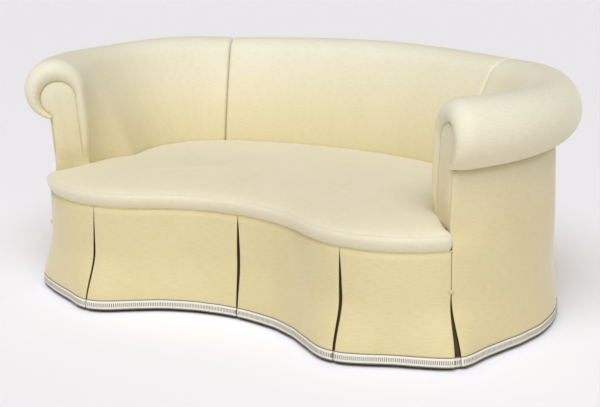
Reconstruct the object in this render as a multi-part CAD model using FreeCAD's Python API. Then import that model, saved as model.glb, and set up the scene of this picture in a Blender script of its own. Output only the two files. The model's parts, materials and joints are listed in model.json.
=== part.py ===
import FreeCAD, Part
import os
from math import sin, cos, acos, atan2, sqrt, exp, hypot, pi, radians, degrees

V = FreeCAD.Vector
os.makedirs("parts", exist_ok=True)

# Kidney-shaped upholstered settee with a wrap-around rolled back and a pleated skirt.
# Millimetres, +Z up, +X to the sitter's left as seen from the front, front towards -Y.
# A place in plan is given by a station, the girth in mm from the middle of the front,
# positive towards +X, and by an inset, the distance inside the upholstered outline.

# Plan outline, a chain of tangent arcs from the middle of the front to the middle of the back
hollow_radius = 579.0        # concave curve in the middle of the front
hollow_turn = 32.2           # degrees that it turns on each side of the middle
lobe_radius = 359.0          # the two bulging lobes of the seat
lobe_end = 121.3             # bearing of the outward normal, clockwise from straight back
side_radius = 691.0
side_end = 93.0
corner_radius = 550.0
corner_end = 20.2
arm_front_bearing = 130.0    # where the arms end, on the lobes
seam_bearing = 25.0          # where the arms meet the back
pleat_bearing = 185.3        # the pleats in the middle of the lobes

# Heights above the floor
hem_height = 12.0
tape_height = 33.0
kick_height = 110.0          # below this the skirt flares out
welt_height = 353.0
bulge_height = 390.0         # widest level of the seat's soft edge
junction_height = 431.0      # seat top against the inside arms and back
seat_height = 442.0
crest_front = 803.0          # top of the roll at the arm fronts
crest_dip = 778.0            # lowest point of the arm crest
crest_seam = 795.0
crest_back = 806.0

# Arms and back
underside_height = 590.0     # underside of the roll, level all round
roll_inset = 31.0            # the roll's centre inside the outline
arm_front_thickness = 140.0  # outline to inside face, at seat level
arm_thickness = 268.0
back_thickness = 250.0
swell_length = 260.0         # girth in which the arm thickens behind its front
face_bulge = 0.03            # how full the inside face is, as a share of its length
cover_thickness = 2.7
panel_lean = 8.0             # outside panels are this far inside the outline at their top
front_tuck = 20.0            # and this much more at the arm fronts
tuck_length = 160.0
roll_chords = 12
edge_roundness = 34.0        # rounding of the roll round the facing
seam_roundness = 16.0        # the pinch at the seams between arms and back

# Facing, the keyhole panel in the front of each arm
facing_head_radius = 62.0
facing_head_inset = 41.0
facing_head_height = 668.0
facing_foot_height = 420.0
facing_foot_outer = 30.0
facing_foot_inner = 123.0
facing_pad = 12.0
facing_board = 18.0
facing_recess = 4.0
piping_radius = 3.0

# Seat
seat_bulge = 18.0
seat_gap = 1.6
welt_radius = 3.0
seat_edge_radius = 24.5      # the firm stuffed roll along the front edge

# Skirt
skirt_cloth = 4.0
return_width = 26.0          # cloth folded back behind a panel's edge at a pleat
return_depth = 8.0
slit = 2.4                   # gap between two panels at a pleat
base_flare = 19.0
pleat_flare = 45.0           # extra flare at a pleat
pleat_spread = 92.0
upper_lean = 10.0            # outward lean from the welt to the kick height
underlay_width = 230.0
underlay_gap = 12.0          # from a panel's face to the underlay behind it
underlay_drop = 5.0          # the underlay hangs below the hem
tape_thickness = 2.0
button_radius = 8.0
button_height = 228.0

# Wooden frame
rail_top = 345.0
rail_height = 100.0
rail_inset = 17.2
rail_thickness = 34.0
post_thickness = 38.0
post_width = 62.0
top_rail_height = 46.0
top_rail_reach = 52.0        # half of the top rail's width
top_rail_level = 646.0
pad_thickness = 52.0         # stuffing of the inside face
tack_rail_height = 34.0
tack_rail_thickness = 30.0
slat_thickness = 22.0
slat_width = 44.0
lining_thickness = 1.5
cross_rail_width = 40.0
cross_rail_height = 70.0
block_size = 58.0
strip_height = 22.0
leg_top = 52.0
leg_foot = 34.0
leg_setback = 14.0           # outer face of a leg's top inside the outline
leg_splay = 12.0             # its foot stands this much further out
glide_height = 3.0
glide_radius = 11.0
bolt_radius = 4.0
bolt_length = 90.0
chord_sag = 1.25             # how far the outline's chords lie inside its arcs
fit = 0.3                    # clearance between pieces that lie against each other
stuffing_ease = 1.0          # clearance of the stuffing under the covers

# Seat suspension
web_width = 50.0
web_thickness = 2.0
web_pitch = 104.0
spring_radius = 44.0
spring_waist = 27.0
spring_pitch = 146.0
deck_thickness = 2.0
dust_cover_thickness = 1.0

rail_bottom = rail_top - rail_height
post_inset = panel_lean + skirt_cloth + chord_sag + fit
deck_bottom = rail_top + 2.0 * seat_edge_radius + fit
pad_foot = deck_bottom + deck_thickness + fit


def unit(bearing):
    """Plan direction of a bearing, clockwise from straight back."""
    return sin(radians(bearing)), cos(radians(bearing))


def plan_arcs():
    """Right half of the outline: centre x, y, radius, first and last bearing, and hand.

    The hand is -1 on the hollow, whose centre lies outside the settee.
    """
    nx, ny = unit(hollow_turn)
    arcs = [(0.0, -hollow_radius, hollow_radius, 180.0, 180.0 + hollow_turn, -1)]
    reach = hollow_radius + lobe_radius
    cx, cy = nx * reach, -hollow_radius + ny * reach
    arcs.append((cx, cy, lobe_radius, 180.0 + hollow_turn, lobe_end, 1))
    radius = lobe_radius
    for bearing, next_radius, last in ((lobe_end, side_radius, side_end),
                                       (side_end, corner_radius, corner_end)):
        nx, ny = unit(bearing)
        cx, cy = cx + nx * (radius - next_radius), cy + ny * (radius - next_radius)
        radius = next_radius
        arcs.append((cx, cy, radius, bearing, last, 1))
    nx, ny = unit(corner_end)
    back_radius = radius + cx / nx
    cy += ny * (radius - back_radius)
    arcs.append((0.0, cy, back_radius, corner_end, 0.0, 1))
    return arcs


ARCS = plan_arcs()
LENGTHS = [radius * radians(abs(last - first)) for cx, cy, radius, first, last, hand in ARCS]
half_girth = sum(LENGTHS)
origin_y = 0.0


def wrapped(station):
    """The same station, between the middle of the back on the left and on the right."""
    return (station + half_girth) % (2.0 * half_girth) - half_girth


def girth(station):
    """Distance along the outline from the middle of the front."""
    return abs(wrapped(station))


def at(station, inset=0.0, height=0.0):
    """The point at a station, an inset and a height."""
    side = -1.0 if wrapped(station) < 0 else 1.0
    run = girth(station)
    for (cx, cy, radius, first, last, hand), length in zip(ARCS, LENGTHS):
        if run <= length or radius is ARCS[-1][2]:
            nx, ny = unit(first + (last - first) * run / length)
            reach = hand * radius - inset
            return V(side * (cx + nx * reach), cy + ny * reach - origin_y, height)
        run -= length


def outward(station):
    """Unit vector out of the settee at a station."""
    return (at(station, 0.0) - at(station, 1.0)).normalize()


def station_of(bearing):
    """Station beyond the hollow whose outward normal has this bearing."""
    run = LENGTHS[0]
    for (cx, cy, radius, first, last, hand), length in list(zip(ARCS, LENGTHS))[1:]:
        if bearing >= last:
            return run + radius * radians(first - bearing)
        run += length


arm_station = station_of(arm_front_bearing)
seam_station = station_of(seam_bearing)
pleat_station = station_of(pleat_bearing)


def ease(value):
    """Smooth step from 0 to 1."""
    value = min(max(value, 0.0), 1.0)
    return value * value * (3.0 - 2.0 * value)


def grid_stations():
    """Stations that the outline is divided at, closer together where it curves more."""
    marks = [0.0]
    for (cx, cy, radius, first, last, hand), length in zip(ARCS, LENGTHS):
        count = round(length / (2.0 * sqrt(2.0 * radius * chord_sag)))
        marks += [marks[-1] + length * i / count for i in range(1, count + 1)]
    marks += [2.0 * half_girth - s for s in marks[-2::-1]]
    return sorted(set([-s for s in marks if s > 0.0] + marks))


GRID = grid_stations()


def split(first, last):
    """Stations from first to last, with those of the outline's grid between them."""
    low, high = min(first, last), max(first, last)
    found = [low] + [s for s in GRID if low + 9.0 < s < high - 9.0] + [high]
    return found if first < last else found[::-1]


def chords(points):
    return [line(a, b) for a, b in zip(points, points[1:])]


def plan_curve(stations, inset, height):
    """Run of chords at an inset that may be a number or a function of station."""
    depth = inset if callable(inset) else (lambda s: inset)
    return chords([at(s, depth(s), height) for s in stations])


def line(a, b):
    return Part.LineSegment(a, b).toShape()


def end_of(edges, last=True):
    """First or last point of a run of edges that were made in order."""
    edge = edges[-1] if last else edges[0]
    return edge.valueAt(edge.LastParameter if last else edge.FirstParameter)


def join(*runs):
    """Closed wire from runs of edges, with lines across the gaps between them."""
    edges = []
    for i, run in enumerate(runs):
        edges += run
        follow = runs[(i + 1) % len(runs)]
        edges.append(line(end_of(run), end_of(follow, last=False)))
    return Part.Wire([e for e in edges if e.Length > 1e-6])


def band(stations, outer, inner, low, high):
    """Upright solid between two insets and two heights, along stations."""
    wire = join(plan_curve(stations, outer, low), plan_curve(stations[::-1], inner, low))
    return Part.Face(wire).extrude(V(0, 0, high - low))


def loft(wires):
    """Solid through wires of as many corners each, with flat faces from one to the next.

    A face that would be twisted is folded along its shorter diagonal.
    """
    faces = [Part.Face(wires[0]), Part.Face(wires[-1])]
    rings = [[v.Point for v in wire.OrderedVertexes] for wire in wires]
    for near, far in zip(rings, rings[1:]):
        for k in range(len(near)):
            a, b, c, d = near[k - 1], near[k], far[k], far[k - 1]
            normal = (b - a).cross(d - a)
            if abs(normal.dot(c - a)) < 1e-7 * normal.Length:
                faces.append(Part.Face(closed([a, b, c, d])))
            elif (d - b).Length < (c - a).Length:
                faces += [Part.Face(closed([a, b, d])), Part.Face(closed([b, c, d]))]
            else:
                faces += [Part.Face(closed([a, b, c])), Part.Face(closed([a, c, d]))]
    shell = Part.Shell(faces)
    shell.sewShape()
    solid = Part.Solid(shell)
    if solid.Volume < 0:
        solid.reverse()
    return solid


def closed(points):
    return Part.makePolygon(points + points[:1])


def cord(points, radius, normal, sides=6):
    """Round cord through points that lie in a plane with this normal."""
    wires = []
    for i, point in enumerate(points):
        before, after = points[max(i - 1, 0)], points[min(i + 1, len(points) - 1)]
        across = (after - before).normalize().cross(normal)
        turns = [pi / 2.0 + 2.0 * pi * (k + 0.5) / sides for k in range(sides)]
        corner = radius / cos(pi / sides)
        wires.append(closed([point + across * (corner * cos(t)) + normal * (corner * sin(t))
                             for t in turns]))
    return loft(wires)


def mirrored(shape):
    """The same piece on the other side of the settee."""
    return shape.mirror(V(0, 0, 0), V(1, 0, 0))


def group(shapes):
    return Part.makeCompound(shapes)


def thickness(station):
    """Outline to inside face, at seat level."""
    run = girth(station) - arm_station
    arm = arm_front_thickness + (arm_thickness - arm_front_thickness) * ease(run / swell_length)
    share = ease((girth(station) - seam_station / 2.0) / (half_girth - seam_station / 2.0))
    return arm + (back_thickness - arm_thickness) * share


def crest(station):
    """Height of the top of the roll."""
    run = (girth(station) - arm_station) / (seam_station - arm_station)
    if run > 1.0:
        share = (girth(station) - seam_station) / (half_girth - seam_station)
        return crest_seam + (crest_back - crest_seam) * ease(share)
    if run < 0.45:
        return crest_front + (crest_dip - crest_front) * ease(run / 0.45)
    return crest_dip + (crest_seam - crest_dip) * ease((run - 0.45) / 0.55)


def roll_radius(station):
    return (crest(station) - underside_height) / 2.0


def wall_inset(station, height):
    """Inset of the outside arm and back panels, and of the skirt under the welt."""
    if height >= welt_height:
        share = (height - welt_height) / (underside_height - welt_height)
        tuck = front_tuck * (1.0 - ease((girth(station) - arm_station) / tuck_length))
        return share * (panel_lean + tuck)
    if height >= kick_height:
        return -upper_lean * (welt_height - height) / (welt_height - kick_height)
    share = (kick_height - height) / (kick_height - hem_height)
    return -upper_lean - (flare(station) - upper_lean) * share ** 1.6


def lip_inset(station):
    """Inset at which the roll's cover tucks in over the top of the outside panel."""
    return wall_inset(station, underside_height) + skirt_cloth - 1.0


def flare(station):
    """How far the hem stands out of the outline: more at the pleats of the lobes and corners."""
    pleats = (pleat_station, arm_station, seam_station)
    kick = max(exp(-((girth(station) - p) / pleat_spread) ** 2) for p in pleats)
    return base_flare + pleat_flare * kick


front_y = min(at(s, -flare(s) - tape_thickness).y for s in split(0.0, arm_station))
back_y = at(half_girth, roll_inset - roll_radius(half_girth)).y
origin_y = (front_y + back_y) / 2.0


def roll_path(station, inset, foot):
    """Inside face and roll in the upright plane at a station, from the foot to the underside.

    The face rises from the foot, leans back in a soft bulge to the roll and goes over it.
    """
    radius = roll_radius(station) - inset
    level = crest(station) - roll_radius(station)
    start = thickness(station) - inset
    run, rise = start - roll_inset, level - junction_height
    distance = hypot(run, rise)
    touch = degrees(acos(radius / distance) - atan2(rise, run))
    lip = 180.0 + degrees(acos((roll_inset - lip_inset(station)) / radius))

    def on_roll(angle):
        turn = radians(angle)
        return at(station, roll_inset + radius * cos(turn), level + radius * sin(turn))

    knee = at(station, start, junction_height)
    top = on_roll(touch)
    lean = radians(touch)
    points = [at(station, start, foot), knee]
    for share in (0.3, 0.65):
        push = 4.0 * share * (1.0 - share) * face_bulge * distance
        points.append(knee * (1.0 - share) + top * share
                      - outward(station) * (push * cos(lean)) + V(0, 0, push * sin(lean)))
    return points + [on_roll(touch + (lip - touch) * i / roll_chords)
                     for i in range(roll_chords + 1)]


def rounded_ends(first, last, first_round, last_round):
    """Stations from first to last, each with the inset that rounds the form off at its ends."""
    ends = [(share, 1.0 - sqrt(1.0 - (1.0 - share) ** 2)) for share in (0.0, 0.3, 1.0)]
    rows = [(first + first_round * a, first_round * b) for a, b in ends]
    rows += [(s, 0.0) for s in split(first + first_round, last - last_round)[1:-1]]
    return rows + [(last - last_round * a, last_round * b) for a, b in ends[::-1]]


def roll_cover(rows):
    """Cover of the inside face and the roll, from behind the seat to the roll's underside."""
    wires = []
    for station, pinch in rows:
        outer = roll_path(station, pinch, pad_foot)
        inner = roll_path(station, pinch + cover_thickness, pad_foot)
        wires.append(closed(outer + inner[::-1]))
    return loft(wires)


def roll_stuffing(rows):
    """Stuffing under the cover, fitted round the posts and the top rail."""
    wires = []
    for station, pinch in rows:
        outer = roll_path(station, pinch + cover_thickness + stuffing_ease, pad_foot)
        near = roll_inset - top_rail_reach - fit
        far = roll_inset + top_rail_reach + lining_thickness + 2.5 * stuffing_ease
        low, high = top_rail_level - fit, top_rail_level + top_rail_height + fit
        back = thickness(station) - pad_thickness + fit
        lip = lip_inset(station) + 1.0
        start = underside_height + pinch + cover_thickness + 8.0
        corners = [(lip, start), (lip, low), (near, low), (near, high), (far, high),
                   (far, low), (back, pad_foot)]
        wires.append(closed(outer + [at(station, u, z) for u, z in corners]))
    return loft(wires)


def facing_points(grow, depth):
    """Keyhole outline of an arm's facing, in the plane at a depth behind the arm's front.

    It goes from the inner foot over the head to the outer foot.
    """
    forward = outward(arm_station).cross(V(0, 0, 1))
    radius = facing_head_radius + grow
    corners = [(facing_foot_inner + grow, facing_foot_height - grow)]
    for i in range(11):
        turn = radians(-5.0 + 25.0 * i)
        corners.append((facing_head_inset + radius * cos(turn),
                        facing_head_height + radius * sin(turn)))
    corners.append((facing_foot_outer - grow, facing_foot_height - grow))
    return [at(arm_station, u, z) - forward * depth for u, z in corners]


def facing_wire(grow, depth):
    return closed(facing_points(grow, depth))


def facing_region():
    """Room that the facing, its piping and its board take up."""
    forward = outward(arm_station).cross(V(0, 0, 1))
    deep = facing_recess + facing_pad + facing_board + 2.0 * fit
    face = Part.Face(facing_wire(2.5 * piping_radius, -4.0))
    return face.extrude(forward * -(deep + 4.0))


def facing_parts():
    """Board, padded facing and piping of the right arm's front."""
    forward = outward(arm_station).cross(V(0, 0, 1))
    rear = facing_recess + facing_pad
    board = Part.Face(facing_wire(2.0, rear + fit)).extrude(forward * -facing_board)
    pad = loft([facing_wire(0.0, rear), facing_wire(0.0, rear - 5.0),
                facing_wire(-3.0, facing_recess + 3.0), facing_wire(-12.0, facing_recess)])
    piping = cord(facing_points(1.16 * piping_radius + 2.0 * fit, rear - 4.0), piping_radius, forward)
    return board, pad, piping


EDGE_GRID = [s for s in GRID if abs(s) < arm_station - 12.0]
WALL_GRID = [s for s in GRID if arm_station + 12.0 < s < half_girth + 1e-6]


def seat_wire(height, front, rear, draw):
    """Seat outline at a height: inset of the front edge, gap behind, and draw at the ears."""
    ear = arm_station - 1.0 - draw
    wall = arm_station + 1.0 + draw
    around = [wall] + [s for s in WALL_GRID if s > arm_station + 1.0]
    around = [max(s, wall + 2.0 * i) for i, s in enumerate(around)]
    around += [2.0 * half_girth - s for s in around[-2::-1]]
    edge = [-ear] + [max(min(s, ear - 5.0), 5.0 - ear) for s in EDGE_GRID] + [ear]
    return join(plan_curve(edge, front, height),
                plan_curve(around, lambda s: thickness(s) + rear, height))


def seat_rows(foot):
    """Rows of the crowned seat: height, front inset, gap behind, and draw at the ears."""
    drop = seat_height - junction_height
    edge = [(welt_height + welt_radius, 0.0), (welt_height + 15.0, -0.72 * seat_bulge),
            (bulge_height - 5.0, -seat_bulge), (bulge_height + 10.0, -0.7 * seat_bulge)]
    crown = [(bulge_height + 22.0, 8.0, 0.0, 8.0), (junction_height - 9.0, 42.0, 0.0, 26.0),
             (junction_height, 88.0, 6.0, 48.0), (seat_height - 0.3 * drop, 145.0, 45.0, 74.0),
             (seat_height, 200.0, 110.0, 100.0)]
    rows = [(height, inset, 0.0, 0.0) for height, inset in edge] + crown
    below = [row for row in rows if row[0] <= foot][-1]
    above = [row for row in rows if row[0] > foot]
    share = (foot - below[0]) / (above[0][0] - below[0])
    return [tuple(a + (b - a) * share for a, b in zip(below, above[0]))] + above


def seat_form(shrink, foot):
    """Crowned seat with a soft edge over the skirt, fitted between the inside faces."""
    wires = []
    for height, front, rear, draw in seat_rows(foot):
        lower = shrink * ease((height - bulge_height) / (junction_height - bulge_height))
        wires.append(seat_wire(height - lower, front + shrink, seat_gap + rear + shrink,
                               draw + shrink))
    return loft(wires)


def seat_cover():
    """Fabric of the seat, open underneath."""
    foot = welt_height + welt_radius
    inside = seat_form(cover_thickness, foot)
    hull = seat_form(0.0, foot)
    rear = Part.Face(seat_wire(foot - 1.0, 30.0, -60.0, -20.0))
    return hull.cut(inside).cut(rear.extrude(V(0, 0, pad_foot - foot + 1.0)))


def hanging_wire(stations, height, start, depth, folds=False):
    """Section of hanging cloth at a height: inset of its face from the wall, and its depth."""
    def face(s):
        return wall_inset(s, height) + start

    def rear(s):
        return face(s) + depth

    def deep(s):
        return face(s) + return_depth

    if not folds:
        return join(plan_curve(stations, face, height), plan_curve(stations[::-1], rear, height))
    first, last = stations[0], stations[-1]
    return join(plan_curve(stations, face, height),
                plan_curve([last, last - return_width], deep, height),
                plan_curve(stations[-2:0:-1], rear, height),
                plan_curve([first + return_width, first], deep, height))


def panel_stations(first, last):
    """Stations of a panel's face, with the places where its edges are folded back."""
    low, high = first + slit / 2.0, last - slit / 2.0
    flap = return_width + 3.0
    middle = [s for s in split(low, high) if low + flap + 20.0 < s < high - flap - 20.0]
    return [low, low + flap] + middle + [high - flap, high]


def skirt_panel(first, last, top, levels):
    """Cloth panel between two pleats, with its edges folded back."""
    stations = panel_stations(first, last)
    heights = [top] + [z for z in levels if z < top - 20.0]
    return loft([hanging_wire(stations, z, 0.0, skirt_cloth, True) for z in heights])


def hem_levels():
    """Heights at which the flare of the skirt is shaped."""
    tape_top = hem_height + tape_height
    return [welt_height, kick_height, (kick_height + tape_top) / 2.0, tape_top, hem_height]


def tape_strip(stations, start, drop):
    """Woven tape along the foot of a cloth panel."""
    wires = [hanging_wire(stations, z - drop, start - tape_thickness - fit, tape_thickness)
             for z in (hem_height + tape_height, hem_height)]
    return loft(wires)


def underlay_stations(pleat):
    return split(pleat - underlay_width / 2.0, pleat + underlay_width / 2.0)


def underlay(pleat):
    """Cloth behind a pleat, seen through its slit."""
    stations = underlay_stations(pleat)
    heights = [rail_top] + hem_levels()[1:-2]
    heights += [hem_height + tape_height - underlay_drop, hem_height - underlay_drop]
    return loft([hanging_wire(stations, z, underlay_gap, skirt_cloth) for z in heights])


def upright(station, inset, height):
    """Point, outward direction and direction along the outline."""
    out = outward(station)
    return at(station, inset, height), out, V(0, 0, 1).cross(out)


def ring(centre, radius, sides):
    """Level polygon with this many sides."""
    turns = [2.0 * pi * k / sides for k in range(sides)]
    return closed([centre + V(radius * cos(t), radius * sin(t), 0) for t in turns])


def rod(foot, radius, height, sides):
    return Part.Face(ring(foot, radius, sides)).extrude(V(0, 0, height))


def leg(station):
    """Tapered leg under the rail, splayed a little, with its glide and bolt."""
    def square(size, inset, height):
        centre, out, along = upright(station, inset, height)
        half = size / 2.0
        return closed([centre + out * (half * a) + along * (half * b)
                       for a, b in ((1, 1), (1, -1), (-1, -1), (-1, 1))])

    top_inset = leg_setback + leg_top / 2.0
    foot_inset = top_inset - leg_splay
    post = loft([square(leg_foot, foot_inset, glide_height),
                 square(leg_top, top_inset, rail_bottom)])
    glide = rod(at(station, foot_inset, 0.0), glide_radius, glide_height, 12)
    start = rail_bottom - bolt_length / 2.0
    bolt = rod(at(station, top_inset, start), bolt_radius, bolt_length, 6)
    return post.cut(bolt), glide, bolt


def frame_station(share):
    """Station of a wall frame, as a share of the way from an arm front to the back middle."""
    return arm_station + (half_girth - arm_station) * share


def radial_loft(stations, corners):
    """Solid whose section at each station is a polygon of inset and height pairs."""
    wires = []
    for s in stations:
        points = [at(s, u, z) for u, z in corners(s)]
        wires.append(Part.makePolygon(points + points[:1]))
    return loft(wires)


def tack_face(station):
    """Inset of the tack rail's seat-side face."""
    return thickness(station) - pad_thickness


def wall_frame(station):
    """Upright post, spacer at seat level and raked slat up to the top rail."""
    low, high = station - slat_width / 2.0, station + slat_width / 2.0
    post = band([low, high], post_inset, post_inset + post_thickness, rail_top, top_rail_level)
    spacer = band([low, high], post_inset + post_thickness,
                  lambda s: tack_face(s) - tack_rail_thickness,
                  deck_bottom - tack_rail_height, deck_bottom)
    far = roll_inset + top_rail_reach

    def slat_corners(s):
        rear = tack_face(s) - tack_rail_thickness
        return [(rear, deck_bottom), (rear + slat_thickness, deck_bottom),
                (far, top_rail_level), (far - slat_thickness, top_rail_level)]

    return post, spacer, radial_loft([low, high], slat_corners)


def lining(stations):
    """Hessian stretched over the slats, behind the stuffing."""
    far = roll_inset + top_rail_reach + 2.0 * fit
    rear = slat_thickness - tack_rail_thickness
    top = top_rail_level + top_rail_height

    def corners(s):
        foot = tack_face(s) + rear
        return [(foot + fit, pad_foot), (foot + fit + lining_thickness, pad_foot),
                (far + fit + lining_thickness, top_rail_level),
                (far + fit + lining_thickness, top), (far + fit, top),
                (far + fit, top_rail_level)]

    return radial_loft(stations, corners)


def inside_region(front, rear, low, high):
    """Plan region of the seat at a front inset and a gap from the inside faces."""
    return Part.Face(seat_wire(low, front, rear, 0.0)).extrude(V(0, 0, high - low))


def whole_region(inset, low, high):
    """Everything inside an inset of the outline."""
    wire = Part.Wire(plan_curve(split(-half_girth, half_girth), inset, low))
    return Part.Face(wire).extrude(V(0, 0, high - low))


def webbing(low, lengthwise):
    """Straps across the underside of the seat rails."""
    region = whole_region(rail_inset + fit, low, low + web_thickness)
    box = region.BoundBox
    straps = []
    reach = box.YMax - box.YMin if not lengthwise else box.XMax
    count = int(reach / web_pitch)
    for i in range(-count, count + 1):
        centre = i * web_pitch
        if lengthwise:
            size, corner = (web_width, box.YLength), (centre - web_width / 2.0, box.YMin)
        else:
            size, corner = (box.XLength, web_width), (box.XMin, centre - web_width / 2.0)
        strap = Part.makeBox(size[0], size[1], web_thickness, V(corner[0], corner[1], low))
        straps += region.common(strap).Solids
    return [s for s in straps if s.Volume > web_width * web_width * web_thickness]


def spring(x, y, low, high):
    """Envelope of a waisted coil spring."""
    return loft([ring(V(x, y, low), spring_radius, 8),
                 ring(V(x, y, (low + high) / 2.0), spring_waist, 8),
                 ring(V(x, y, high), spring_radius, 8)])


def springs(low, high):
    """Springs on a grid, where they fit inside the seat."""
    room = inside_region(rail_inset + rail_thickness + spring_radius + 6.0,
                         spring_radius + 8.0, low, high)
    found = []
    for i in range(-8, 9):
        for j in range(-6, 7):
            x, y = i * spring_pitch, j * spring_pitch
            if room.isInside(V(x, y, (low + high) / 2.0), 0.1, True):
                found.append(spring(x, y, low, high))
    return found


def tack_strips(bounds):
    """Strips on the rails between the pleats, which the skirt is tacked to."""
    strips = []
    for a, b in zip(bounds, bounds[1:]):
        reach = underlay_width / 2.0 + 3.0
        run = split(a + reach, b - reach)
        run = run[1:-1] if len(run) > 3 else run
        strips.append(band(run, skirt_cloth + fit, rail_inset - fit,
                           rail_top - strip_height, rail_top))
    return strips


def save(name, shape):
    shape.exportStep("parts/" + name + ".step")
    solids = shape.Solids
    print(name, len(solids), "solids", round(sum(s.Volume for s in solids) / 1000.0), "cm3",
          "valid" if shape.isValid() else "NOT VALID")


def save_pair(name, shape):
    """A piece and its mirror image, as the right-hand and left-hand nodes."""
    save(name + "_right", shape)
    save(name + "_left", mirrored(shape))


back_end = 2.0 * half_girth - seam_station
rail_inner = rail_inset + rail_thickness

# Legs, and the seat rails that stand on them
leg_stations = {"front": (pleat_station * 0.14, pleat_station * 1.18),
                "side": (arm_station + 130.0,),
                "back": (seam_station - 60.0, half_girth - 260.0)}
glides, bolts, legs = [], [], []
for place, stations in leg_stations.items():
    posts = []
    for s in stations:
        post, glide, bolt = leg(s)
        posts += [post, mirrored(post)]
        glides += [glide, mirrored(glide)]
        bolts += [bolt, mirrored(bolt)]
    save("legs_" + place, group(posts))
    legs += posts
save("leg_glides", group(glides))
save("leg_bolts", group(bolts))
bolt_holes = group(bolts)

rail_split = 26.0
front_rail = band(split(-arm_station - rail_split, arm_station + rail_split),
                  rail_inset, rail_inner, rail_bottom, rail_top)
side_rail = band(split(arm_station + rail_split, seam_station),
                 rail_inset, rail_inner, rail_bottom, rail_top)
back_rail = band(split(seam_station, back_end),
                 rail_inset, rail_inner, rail_bottom, rail_top)
save("seat_rail_front", front_rail.cut(bolt_holes))
save_pair("seat_rail_side", side_rail.cut(bolt_holes))
save("seat_rail_back", back_rail.cut(bolt_holes))

# Cross rails from the front rail to the back rail, and blocks in the corners
cross_rails = []
inner_room = whole_region(rail_inner, rail_bottom + 4.0, rail_bottom + 4.0 + cross_rail_height)
for x in (-pleat_station * 0.86, 0.0, pleat_station * 0.86):
    strip = Part.makeBox(cross_rail_width, 3000.0, cross_rail_height,
                         V(x - cross_rail_width / 2.0, -1500.0, rail_bottom + 4.0))
    cross_rails += inner_room.common(strip).Solids
save("cross_rails", group(cross_rails))

blocks = []
for s in (arm_station + rail_split, seam_station):
    centre, out, along = upright(s, rail_inner, rail_bottom + 20.0)
    half = along * (block_size / 2.0)
    corners = [centre + half, centre - half, centre - out * block_size]
    block = Part.Face(Part.makePolygon(corners + corners[:1])).extrude(V(0, 0, block_size))
    block = block.common(whole_region(rail_inner, rail_bottom, rail_top))
    blocks += [block, mirrored(block)]
save("corner_blocks", group(blocks))

# Upright frames in the arms and back, with the rails that tie them together
front_post_start = arm_station + 1.45 * (facing_recess + facing_pad + facing_board)
front_post = band([front_post_start, front_post_start + post_width],
                  panel_lean + front_tuck + skirt_cloth + return_depth - 3.0,
                  arm_front_thickness - pad_thickness - 2.0, rail_top, top_rail_level)
save_pair("arm_front_post", front_post)

posts, spacers, slats = [], [], []
for share in (0.22, 0.42, 0.6, 0.78, 1.0):
    parts = wall_frame(frame_station(share))
    for shape, rest in zip(parts, (posts, spacers, slats)):
        rest.append(shape)
        if share < 1.0:
            rest.append(mirrored(shape))
save("wall_posts", group(posts))
save("wall_spacers", group(spacers))
save("wall_slats", group(slats))

top_near, top_far = roll_inset - top_rail_reach, roll_inset + top_rail_reach
top_end = top_rail_level + top_rail_height
arm_run = split(front_post_start, seam_station)
back_run = split(seam_station, back_end)
save_pair("top_rail_arm", band(arm_run, top_near, top_far, top_rail_level, top_end))
save("top_rail_back", band(back_run, top_near, top_far, top_rail_level, top_end))

tack_start = [s for s in GRID if s > front_post_start + post_width][0]
for name, run in (("tack_rail_arm", split(tack_start, seam_station)),
                  ("tack_rail_back", back_run)):
    rail = band(run, lambda s: tack_face(s) - tack_rail_thickness, tack_face,
                deck_bottom - tack_rail_height, deck_bottom)
    if name == "tack_rail_arm":
        save_pair(name, rail)
    else:
        save(name, rail)

# Suspension: webbing under the rails, springs on it, hessian over them
web_low = rail_bottom - 2.0 * web_thickness
save("webbing_front_to_back", group(webbing(web_low, True)).cut(group(legs + bolts)))
save("webbing_side_to_side", group(webbing(web_low + web_thickness, False)).cut(group(legs + bolts)))
blocked = group(cross_rails)
free_springs = [s for s in springs(rail_bottom, deck_bottom) if s.common(blocked).Volume < 1.0]
save("seat_springs", group(free_springs))
save("spring_hessian", inside_region(rail_inset + seat_edge_radius, 2.0 + slat_thickness - tack_rail_thickness - pad_thickness,
                                     deck_bottom, deck_bottom + deck_thickness))
save("dust_cover", whole_region(leg_setback + leg_top + 2.0, web_low - dust_cover_thickness,
                                web_low))

# Seat: firm edge roll, stuffing, cover and welt
edge_inset = seat_edge_radius + 0.5
edge_end = arm_station - cover_thickness - 3.0
edge_line = [at(s, edge_inset, rail_top + seat_edge_radius) for s in split(-edge_end, edge_end)]
save("seat_edge_roll", cord(edge_line, seat_edge_radius, V(0, 0, 1), 8))
save("seat_stuffing", seat_form(cover_thickness + stuffing_ease, pad_foot))
save("seat_cover", seat_cover())
welt_line = [at(s, welt_radius - 1.0, welt_height) for s in split(-arm_station, arm_station)]
save("seat_welt", cord(welt_line, welt_radius, V(0, 0, 1)))

# Arms and back: lining, stuffing and cover
arm_rows = rounded_ends(arm_station + 1.5, seam_station - fit, edge_roundness, seam_roundness)
back_rows = rounded_ends(seam_station + fit, back_end - fit, seam_roundness, seam_roundness)
stuffed_rows = arm_rows[2:]
save_pair("arm_lining", lining(split(tack_start, seam_station - fit)))
save("back_lining", lining(split(seam_station + fit, back_end - fit)))
board, pad, piping = facing_parts()
front_room = facing_region()
save_pair("arm_stuffing", roll_stuffing(stuffed_rows).cut(front_room))
save("back_stuffing", roll_stuffing(back_rows))
save_pair("arm_cover", roll_cover(arm_rows).cut(front_room))
save("back_cover", roll_cover(back_rows))

# Arm fronts
save_pair("facing_board", board)
save_pair("arm_facing", pad)
save_pair("facing_piping", piping)

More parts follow.
